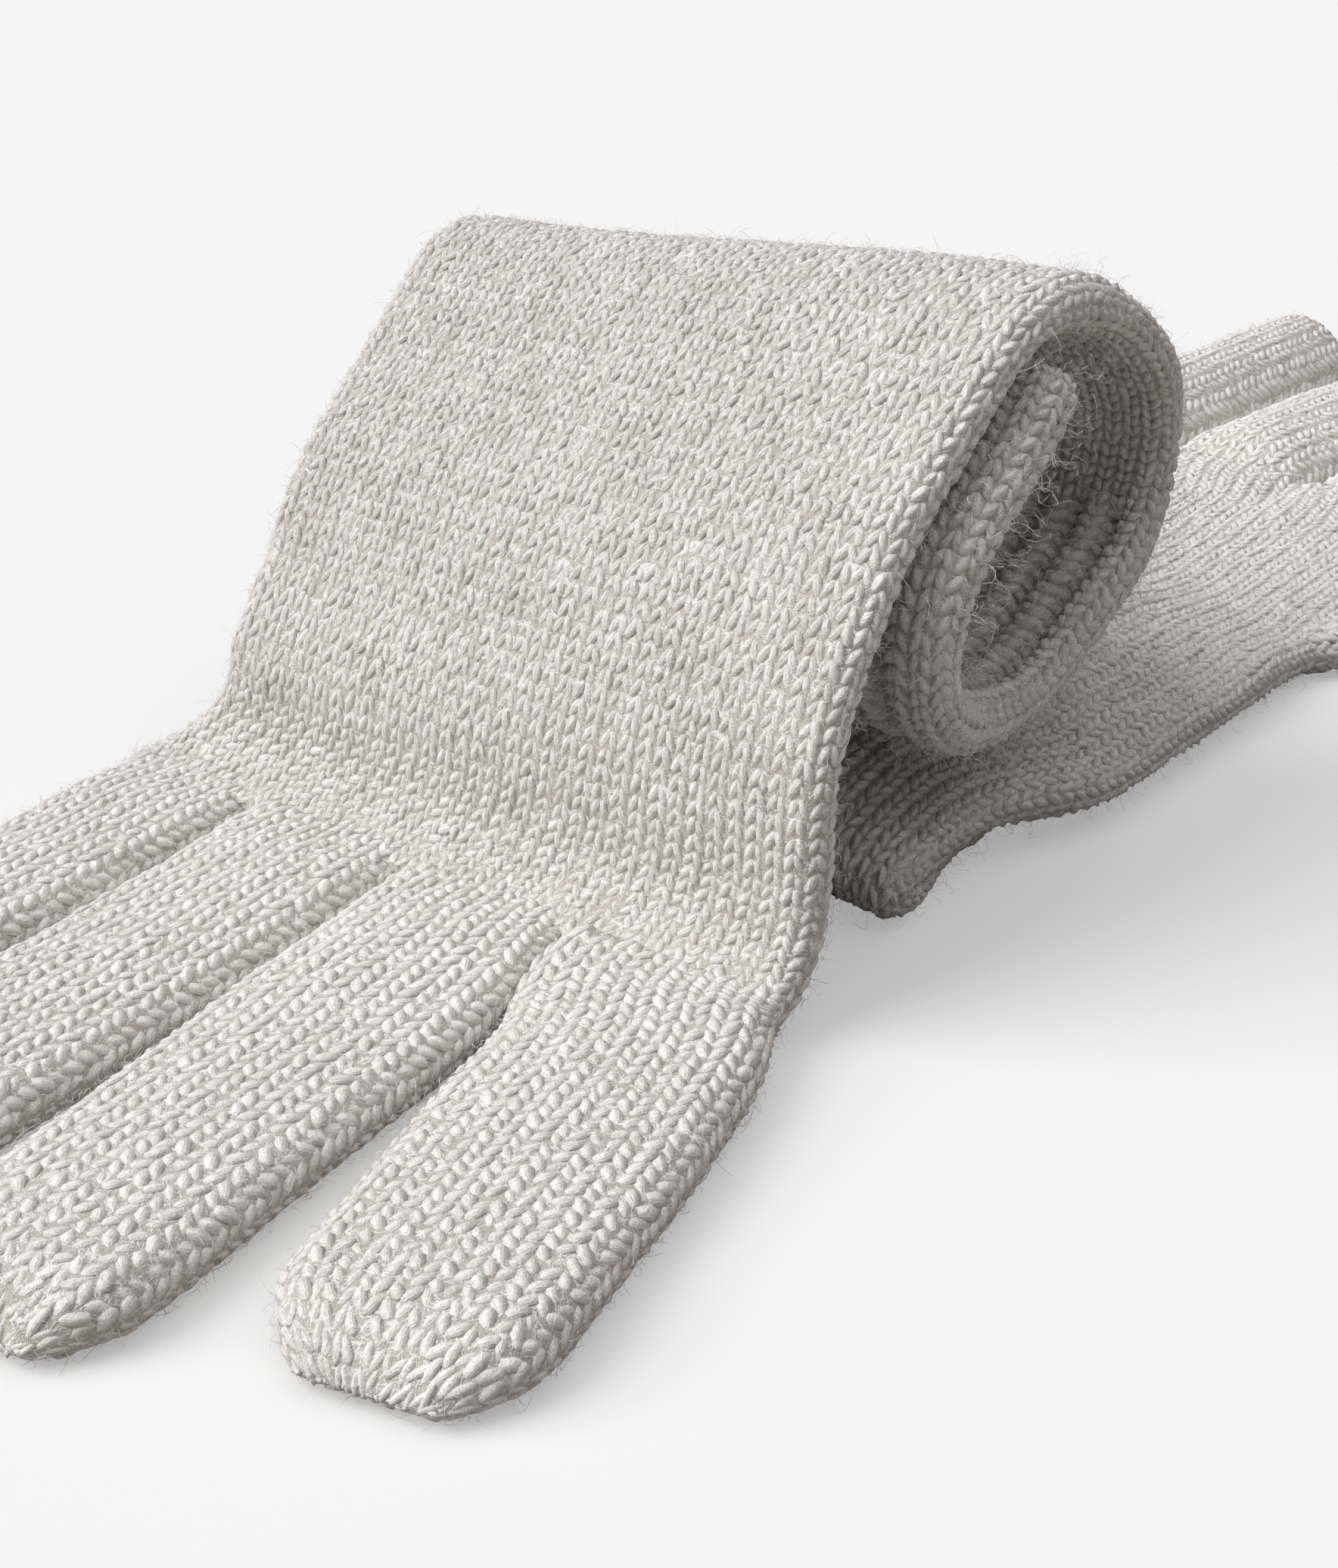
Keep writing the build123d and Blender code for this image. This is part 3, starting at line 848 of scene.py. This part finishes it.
def wool(name, pale, middle, deep, plies=0.0, sheen=0.3, bump=0.6, hairs=0.8, brushed=None):
    """A woollen finish. plies is how strongly the yarn's twist shows, hairs how pale the matted fibres
    are. brushed is the even colour that it nears where the piece's relief is low."""
    made, t = new_finish(name)
    place = t.node("ShaderNodeTexCoord").outputs["Object"]
    tone = t.node("ShaderNodeAttribute", attribute_name="tone").outputs["Fac"]
    heather = t.node("ShaderNodeGroup", node_tree=HEATHER)
    t.fill(heather, {"Position": place, "Tone": tone, "Pale": (*pale, 1), "Middle": (*middle, 1),
                     "Deep": (*deep, 1)})
    fluff = t.node("ShaderNodeGroup", node_tree=FLUFF)
    t.fill(fluff, {"Position": place})
    matted = (*(0.65 + 0.35 * c for c in pale), 1)
    colour = t.mixed(t.times(fluff.outputs["Hairs"], hairs), heather.outputs["Color"], matted)
    crisp = 1.0
    if brushed:
        relief = t.node("ShaderNodeAttribute", attribute_name="relief").outputs["Fac"]
        crisp = t.mapped(relief, 0.35, 1.0, 0.5, 1.0)
        colour = t.mixed(t.math("MULTIPLY_ADD", crisp, -0.6, 0.6), colour, (*brushed, 1))
    normal = t.node("ShaderNodeBump", {
        "Strength": t.times(crisp, bump), "Distance": 0.20 * MM,
        "Height": fluff.outputs["Height"]}).outputs["Normal"]
    if plies:
        twist = t.node("ShaderNodeGroup", node_tree=STRANDS)
        yarn = t.node("ShaderNodeUVMap", uv_map="yarn").outputs["UV"]
        t.fill(twist, {"Yarn place": yarn, "Tone": tone})
        t.fill(heather, {"Strand": twist.outputs["Strand"]})
        normal = t.node("ShaderNodeBump", {
            "Strength": t.times(crisp, plies), "Distance": 0.16 * MM,
            "Height": twist.outputs["Height"], "Normal": normal}).outputs["Normal"]
    shader = t.node("ShaderNodeBsdfPrincipled", {
        "Base Color": colour, "Roughness": fluff.outputs["Roughness"], "Normal": normal,
        "Sheen Weight": sheen, "Sheen Roughness": 0.5, "Specular IOR Level": 0.06})
    t.node("ShaderNodeOutputMaterial", {"Surface": shader.outputs[0]})
    return made


YARN = wool("heathered_yarn", (0.89, 0.85, 0.81), (0.80, 0.755, 0.705), (0.60, 0.55, 0.495),
            plies=0.6, brushed=(0.76, 0.72, 0.675))
# The ground's colours are darker than the yarn's: painted shade in the gaps between the stitches. Where the
# relief is low it nears an even colour close to the yarn's.
SHADED_GROUND_WOOL = wool("felted_ground_painted_shade", (0.72, 0.67, 0.62), (0.62, 0.565, 0.51), (0.46, 0.405, 0.355),
                   bump=0.8, brushed=(0.74, 0.695, 0.645))
# The loose hairs' colours are paler than the yarn's: painted light, so that the thin fibres look brighter
# than the wool, as light shining through them would make them.
HAIR = wool("loose_hair", (0.93, 0.90, 0.87), (0.88, 0.845, 0.80), (0.78, 0.74, 0.69),
            sheen=0.2, bump=0.1, hairs=0.0)


# ------------------------------------------------------------------ pieces

def kinds_of(name, shapes):
    """A set of like small shapes to pick from."""
    group = bpy.data.collections.new(name)
    for shape in shapes:
        group.objects.link(shape)
    return group


def leg_pair(name, sides):
    """Left and right leaning yarn legs, each in a few slightly different shapes."""
    return [kinds_of(f"{name}_{way}", [yarn_leg(f"{name}_{way}_{i}", lean, sides, 30 + i)
                                       for i in range(LEG_KINDS)])
            for way, lean in (("left", -1), ("right", 1))]


PLAIN, SLIGHT, THIN = leg_pair("plain_leg", 5), leg_pair("slight_leg", 4), leg_pair("thin_leg", 3)
CURLS = kinds_of("curls", [curl(f"curl_{i}", 60 + i) for i in range(HAIR_KINDS)])
HAIRS = kinds_of("hairs", [loose_fibre(f"hair_{i}", 90 + i, i == 0) for i in range(HAIR_KINDS)])

RIM_REACH = 9          # half columns on each side of the right rim that hold curls

# Legs on a glove's back and on its palm, rounder where they are seen from nearby
HAND_LEGS = {"right": (PLAIN, SLIGHT), "left": (SLIGHT, THIN)}
THUMB_LEGS = (SLIGHT, THIN)


def stitches_on(name, ground, legs, seed, loose=0.09 * MM, sway=0.15, spread=0.09, purl_turn=0.95):
    """The yarn legs that stand on a ground."""
    left, right = legs
    return grown(name, ground, STITCHES, {
        "Legs to the left": left, "Legs to the right": right, "Looseness": loose, "Sinking": SINKING,
        "Sway": sway, "Size spread": spread, "Purl turn": purl_turn, "Seed": seed, "Yarn": YARN})


def fluff_on(name, ground, fibres, density, seed, sizes=(0.5, 1.3), leans=(0.15, 1.45), root=0.15 * MM):
    """The loose fibres that stand on a ground, so many to the square metre."""
    return grown(name, ground, NAP, {
        "Hairs": fibres, "Hairs per square metre": density, "Shortest": sizes[0], "Longest": sizes[1],
        "Least lean": leans[0], "Most lean": leans[1], "Root height": root, "Seed": seed, "Hair": HAIR})


def piece(name, mesh, material, body, cad_nodes, bend=None):
    """Adds a finished piece, on its body or bent between two, in place of its CAD nodes. What hangs
    lower than CLEAR is squeezed to stay above the ground."""
    at = np.empty(len(mesh.vertices) * 3)
    mesh.vertices.foreach_get("co", at)
    z = at[2::3]
    at[2::3] = np.where(z < CLEAR, CLEAR * np.exp(z / CLEAR - 1), z)
    mesh.vertices.foreach_set("co", at)
    mesh.update()
    made = bpy.data.objects.new(name, mesh)
    bpy.context.scene.collection.objects.link(made)
    mesh.materials.clear()
    mesh.materials.append(material)
    for spare in [a.name for a in mesh.attributes if a.name in STITCH_FACTS]:
        mesh.attributes.remove(mesh.attributes[spare])
    if bend:
        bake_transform(made, bend[0], body, start=bend[1], end=bend[2])
    else:
        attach(made, body)
    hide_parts(*cad_nodes)


def knit(name, grid, body, cad_nodes, seed, legs, hairs, purl=0.0, bend=None, curls=None,
         lids=True, relief=(1.0, 1.0)):
    """A knitted tube in pieces: its stitches on the back and the palm, its nap and its ground. curls is
    how many curly fibres its right rim holds to the square metre, and the longest one's size."""
    count, wide = grid.shape[0] - 1, grid.shape[1]

    def finish(label, mesh, material):
        piece(f"{name}_{label}", mesh, material, body, cad_nodes, bend)

    is_back = np.broadcast_to(np.arange(wide)[None] < wide // 2, (count, wide))
    for number, (label, keep) in enumerate((("back", is_back), ("palm", ~is_back))):
        ground = knit_mesh(f"{name}_{label}_ground", grid, purl, keep, lids=False, relief=relief)
        mesh = stitches_on(f"{name}_{label}", ground, legs[number], seed + number)
        finish(f"{label}_stitches", mesh, YARN)
        bpy.data.meshes.remove(ground)
    whole = knit_mesh(f"{name}_ground", grid, purl, lids=lids)
    finish("nap", fluff_on(f"{name}_nap", whole, HAIRS, hairs, seed + 2), HAIR)
    if curls:
        density, longest = curls
        rim = np.broadcast_to(abs(np.arange(wide) - wide // 2)[None] < RIM_REACH, (count, wide))
        ground = knit_mesh(f"{name}_rim", grid, purl, rim, lids=False)
        mesh = fluff_on(f"{name}_curls", ground, CURLS, density, seed + 7,
                        sizes=(0.4, longest), leans=(0.0, 1.3), root=0.2 * MM)
        finish("curls", mesh, HAIR)
    # the ground wears the wool with painted shade between the stitches
    finish("ground", whole, SHADED_GROUND_WOOL)


def purl_cells(stations, rib_from):
    """Which half stitches are purl: rib furrows, once the ribbing has begun."""
    middle = (stations[:-1] + stations[1:]) / 2
    return (purl_columns(HALF_WALES)[None] & (middle > rib_from + 3 * MM)[:, None]).astype(float)


def build_glove(side, seed):
    """Everything of one glove but its thumb and its linking stitches."""
    body, root_y, towards = f"{side}_hand", ROOT_Y[side], TOWARDS[side]
    legs, hairs = HAND_LEGS[side], HAND_HAIRS[side]
    near, far = HAND_RELIEF[side]
    hand = tube_grid(side, rows(HAND_LENGTH, -0.3 * MM), seed)
    knit(f"{side}_hand", hand, body, [f"{side}_hand"], seed, legs, hairs,
         curls=HAND_CURLS, relief=(near, far))
    cuff_rows = rows(LINES[side].length - HEM, HAND_LENGTH)
    knit(f"{side}_cuff", tube_grid(side, cuff_rows, seed), body, [f"{side}_rib_cuff"],
         seed + 10, legs, 0.6 * hairs, purl_cells(cuff_rows, RIB_FROM[side]),
         curls=CUFF_CURLS[side], relief=(CUFF_RELIEF, near))
    knit(f"{side}_hem", hem_grid(side), body, [f"{side}_cuff_hem"],
         seed + 20, legs, 1.5 * hairs, curls=HEM_CURLS, lids=False, relief=(CUFF_RELIEF, CUFF_RELIEF))
    rise, before = CROWN[side]
    for number, (name, x) in enumerate(finger_roots(side).items()):
        *widths, length, lean = FINGERS[name]
        crown = (rise * TALLER.get((side, name), 1), before)
        grid = finger_grid(widths, length, 4 * FINGER_WALES[name], seed + 30 + number, crown=crown)
        grid = placed_finger(grid, (x, root_y), lean, towards, SWING[side].get(name, 0))
        bend = (body, (x, root_y - towards * 2 * MM, FLAT), (x, root_y + towards * 10 * MM, FLAT))
        knit(f"{side}_{name}", grid, f"{side}_{name}", [f"{side}_{name}_finger", f"{side}_{name}_tip"],
             seed + 40 + 3 * number, legs, hairs, bend=bend, relief=(far, TIP_RELIEF))


def build_left_thumb(seed):
    """Thumb beside the left hand. Its root is cut to the line of the hand's side edge."""
    *widths, length = THUMB
    start = -4 * MM
    grid = finger_grid(widths, length, THUMB_HALF_WALES, seed, start)
    lean = math.radians(LEFT_THUMB_LEAN)
    slant = 1 - step(grid[..., 1], start, 30 * MM)
    d = grid[..., 1] - grid[..., 0] * slant / math.tan(lean)
    x = THUMB_ROOT[0] + grid[..., 0] * math.cos(lean) + d * math.sin(lean)
    y = THUMB_ROOT[1] - grid[..., 0] * math.sin(lean) + d * math.cos(lean)
    grid = np.stack([x, y, grid[..., 2]], -1)
    bend = ("left_hand", *((x, THUMB_ROOT[1], FLAT) for x in LEFT_THUMB_BEND))
    knit("left_thumb", grid, "left_thumb", ["left_thumb", "left_thumb_tip"], seed,
         THUMB_LEGS, THUMB_HAIRS, bend=bend, relief=LEFT_THUMB_RELIEF)


def palm_ways(s_low, s_high):
    """Up the right glove's climbing palm between two distances, the way out of it, and its middle."""
    low, high = LINES["right"].at(np.array([s_low, s_high]))
    up = np.array([0, *(high - low)])
    back = np.array([0, up[2], -up[1]]) / np.linalg.norm(up)
    return up, back, (low + high) / 2


def build_right_thumb(seed):
    """Thumb folded flat across the palm, between the hand and the rolled cuff."""
    *widths, length = THUMB
    grid = finger_grid(widths, length, THUMB_HALF_WALES, seed)
    up, back, middle = palm_ways(13.0 * MM, 30.0 * MM)
    up /= np.linalg.norm(up)
    centre = np.array([RIGHT_THUMB_X, *middle]) + back * RIGHT_THUMB_OFF
    across, along, off = grid[..., :1], grid[..., 1:2], grid[..., 2:] - FLAT
    grid = centre + across * up + along * np.array([-1.0, 0, 0]) - off * back
    knit("right_thumb", grid, "right_thumb", ["right_thumb", "right_thumb_tip"], seed,
         THUMB_LEGS, THUMB_HAIRS)


def joined_mesh(name, parts):
    """Several meshes as one."""
    if len(parts) == 1:
        return parts[0]
    objects = [bpy.data.objects.new(f"{name}_{i}", part) for i, part in enumerate(parts)]
    for thing in objects:
        bpy.context.scene.collection.objects.link(thing)
    with bpy.context.temp_override(active_object=objects[0], selected_editable_objects=objects,
                                   selected_objects=objects, object=objects[0]):
        bpy.ops.object.join()
    mesh = objects[0].data
    bpy.data.objects.remove(objects[0])
    mesh.name = name
    return mesh


def linking(name, grids, body, cad_nodes, seed):
    """Uneven linking stitches over one or more small rolls, joined as one piece, and their nap."""
    stitches, nap = [], []
    for number, grid in enumerate(grids):
        ground = knit_mesh(f"{name}_{number}", grid)
        part = f"{name}_{number}"
        stitches.append(stitches_on(f"{part}_stitches", ground, PLAIN, seed + number,
                                 loose=0.22 * MM, sway=0.5, spread=0.15, purl_turn=0.0))
        nap.append(fluff_on(f"{part}_nap", ground, HAIRS, LINK_HAIRS, seed + number,
                           leans=(0.2, 1.5), root=0.2 * MM))
    for label, parts, material in (("stitches", stitches, YARN), ("nap", nap, HAIR)):
        mesh = joined_mesh(f"{name}_{label}", parts)
        piece(f"{name}_{label}", mesh, material, body, cad_nodes)


def build_joins():
    """Linking stitches where the fingers part, and where each thumb meets its hand."""
    for side, seed in (("right", 700), ("left", 800)):
        towards = TOWARDS[side]
        knot = knot_grid(3.4 * MM, 4.6 * MM, 1.6 * MM, 3) * (1, towards, 1)
        y = ROOT_Y[side] + towards * 0.6 * MM
        knots = [knot + (edge, y, 2.8 * MM) for edge in partings(side)]
        linking(f"{side}_crotch_links", knots, f"{side}_hand", [f"{side}_crotch_joins"], seed)
    up, back, middle = palm_ways(12.0 * MM, 31.0 * MM)
    knot = knot_grid(2.0 * MM, 1.0, 1.2 * MM, 10)
    centre = np.array([29.0 * MM, *middle]) + back * 3.2 * MM
    knot = centre + knot[..., :1] * np.array([1.0, 0, 0]) + knot[..., 1:2] * up + knot[..., 2:] * back
    linking("right_thumb_links", [knot], "right_hand", ["right_thumb_join"], 720)
    knot = knot_grid(2.6 * MM, 24 * MM, 1.5 * MM, 14) + (39.6 * MM, 60 * MM, 3.0 * MM)
    linking("left_thumb_links", [knot], "left_hand", ["left_thumb_join"], 820)


build_glove("right", 100)
build_glove("left", 300)
build_left_thumb(500)
build_right_thumb(600)
build_joins()


# ------------------------------------------------------------------ floor, light and camera

FLOOR_HALF = 8.0       # half the floor's width
FLOOR_SHADE = 0.848
BACKDROP_SHADE = 0.905
BOUNCE = (0.38, 0.35, 0.32, 1)  # colour in which the floor lights the gloves
SELF_LIT = 0.42        # share of the floor that takes no shadow
GLOW = 0.035           # light from all round

# Lamps: strength, spread in degrees, and the way to the light
LAMPS = {
    "window": (3.2, 50, (-0.52, -0.58, 0.63)),
    "skylight": (1.25, 75, (0.12, 0.20, 0.97)),
    "fill": (0.25, 60, (0.80, -0.25, 0.45)),
}

CAMERA_PLACE = (143.5 * MM, -212.9 * MM, 120.0 * MM)
CAMERA_TURN, CAMERA_DIP = 38, 26.5      # degrees, left of +Y and down
SENSOR, LENS = 36, 55.5984556


def grey(shade):
    return (shade, shade, shade, 1)


def build_floor():
    """A pale floor that keeps the gloves' shadow, and looks paler than the light it throws back."""
    mesh = bpy.data.meshes.new("floor")
    corners = [(x * FLOOR_HALF, y * FLOOR_HALF, 0) for x, y in ((-1, -1), (1, -1), (1, 1), (-1, 1))]
    mesh.from_pydata(corners, [], [(0, 1, 2, 3)])
    floor = bpy.data.objects.new("floor", mesh)
    floor.location.z = -0.05 * MM
    bpy.context.scene.collection.objects.link(floor)
    paper, t = new_finish("floor_paper")
    plain = t.node("ShaderNodeEmission", {"Color": grey(FLOOR_SHADE), "Strength": 1.04})
    ray = t.node("ShaderNodeLightPath").outputs
    seen = t.math("MAXIMUM", t.math("MAXIMUM", ray["Is Camera Ray"], ray["Is Glossy Ray"]),
                  ray["Is Transmission Ray"])
    lit = t.node("ShaderNodeBsdfDiffuse", {"Color": t.mixed(seen, BOUNCE, grey(FLOOR_SHADE))})
    mix = t.node("ShaderNodeMixShader", {
        "Fac": t.times(seen, SELF_LIT), 1: lit.outputs[0], 2: plain.outputs[0]})
    t.node("ShaderNodeOutputMaterial", {"Surface": mix.outputs[0]})
    mesh.materials.append(paper)


def build_light():
    """A large soft window from the left, light from above, a little fill, and a pale backdrop."""
    scene = bpy.context.scene
    world = bpy.data.worlds.new("studio")
    world.use_nodes = True
    world.node_tree.nodes.clear()
    t = Nodes(world.node_tree)
    glow = t.node("ShaderNodeBackground", {"Color": grey(1), "Strength": GLOW})
    backdrop = t.node("ShaderNodeBackground", {"Color": grey(BACKDROP_SHADE), "Strength": 1.0})
    seen = t.node("ShaderNodeLightPath").outputs["Is Camera Ray"]
    mix = t.node("ShaderNodeMixShader", {"Fac": seen, 1: glow.outputs[0], 2: backdrop.outputs[0]})
    t.node("ShaderNodeOutputWorld", {"Surface": mix.outputs[0]})
    scene.world = world
    for name, (strength, spread, way) in LAMPS.items():
        lamp = bpy.data.lights.new(name, "SUN")
        lamp.energy = strength
        lamp.angle = math.radians(spread)
        holder = bpy.data.objects.new(name, lamp)
        holder.rotation_mode = "QUATERNION"
        holder.rotation_quaternion = Vector(way).to_track_quat("Z", "Y")
        scene.collection.objects.link(holder)


def build_camera():
    camera = bpy.data.cameras.new("camera")
    camera.lens = LENS
    camera.sensor_width = SENSOR
    camera.clip_start, camera.clip_end = 0.01, 10
    holder = bpy.data.objects.new("camera", camera)
    holder.location = CAMERA_PLACE
    turn, dip = math.radians(CAMERA_TURN), math.radians(CAMERA_DIP)
    way = Vector((-math.sin(turn) * math.cos(dip), math.cos(turn) * math.cos(dip), -math.sin(dip)))
    holder.rotation_mode = "QUATERNION"
    holder.rotation_quaternion = way.to_track_quat("-Z", "Y")
    bpy.context.scene.collection.objects.link(holder)
    bpy.context.scene.camera = holder


build_floor()
build_light()
build_camera()
bpy.context.scene.view_settings.view_transform = "Standard"
